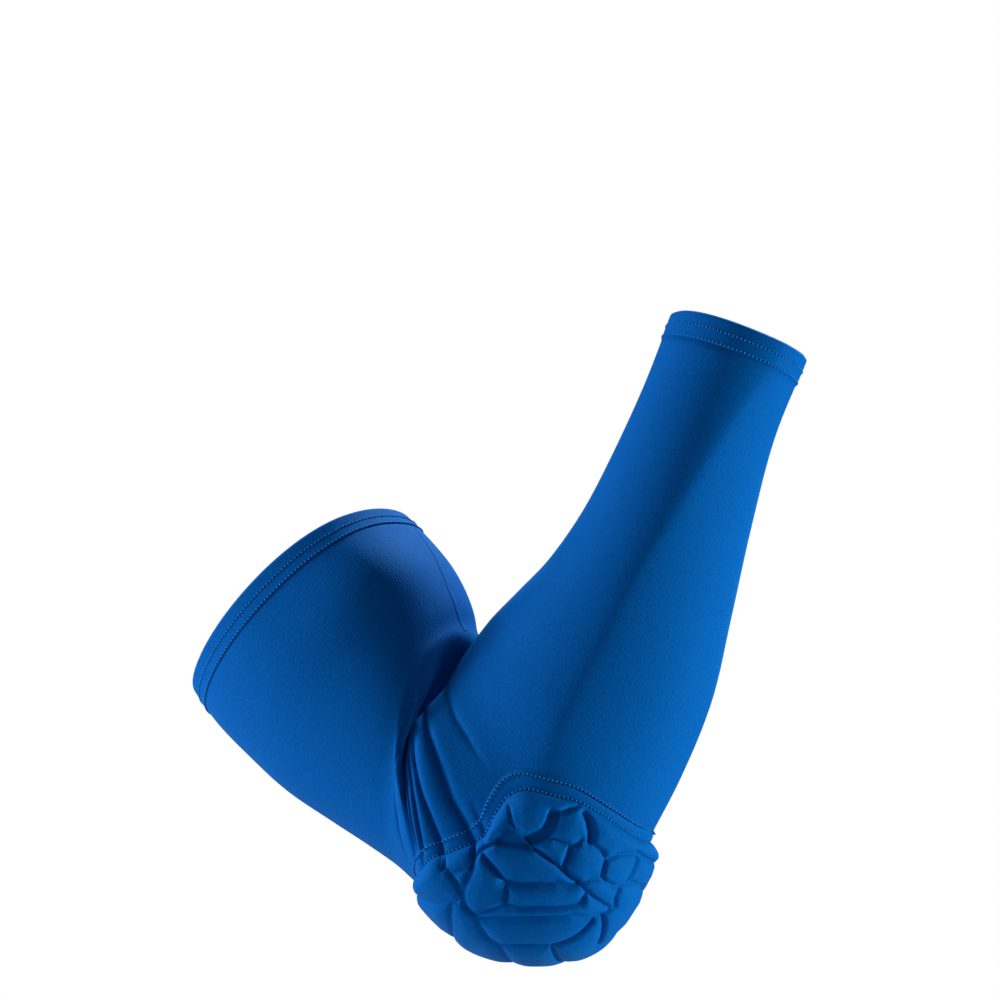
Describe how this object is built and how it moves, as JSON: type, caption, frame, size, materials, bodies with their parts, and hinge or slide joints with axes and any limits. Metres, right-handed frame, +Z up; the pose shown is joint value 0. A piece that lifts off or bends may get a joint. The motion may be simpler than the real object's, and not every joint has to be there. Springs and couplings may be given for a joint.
{
  "type": "elbow pad",
  "caption": "knit arm sleeve bent at the elbow, with a moulded foam cell pad sewn over the elbow and a folded hem at each end",
  "frame": {"origin": "centre of the elbow, where the centre lines of the forearm and the upper arm cross", "axes": "+Z runs up the forearm to the wrist, the arm bends in the XZ plane with the upper arm towards -X and +Z, +X is the outer side of the forearm, +Y the far side"},
  "size_m": [0.2181, 0.1016, 0.2851],
  "materials": {
    "knit": "royal blue stretch knit, low sheen",
    "pad_cover": "royal blue stretch knit over foam cells",
    "seam_thread": "blue flat seam"
  },
  "bodies": {
    "root": {"sleeve": "knit", "elbow_pad": "pad_cover", "upper_hem": "knit", "wrist_hem": "knit", "arm_seam": "seam_thread"}
  },
  "joints": []
}
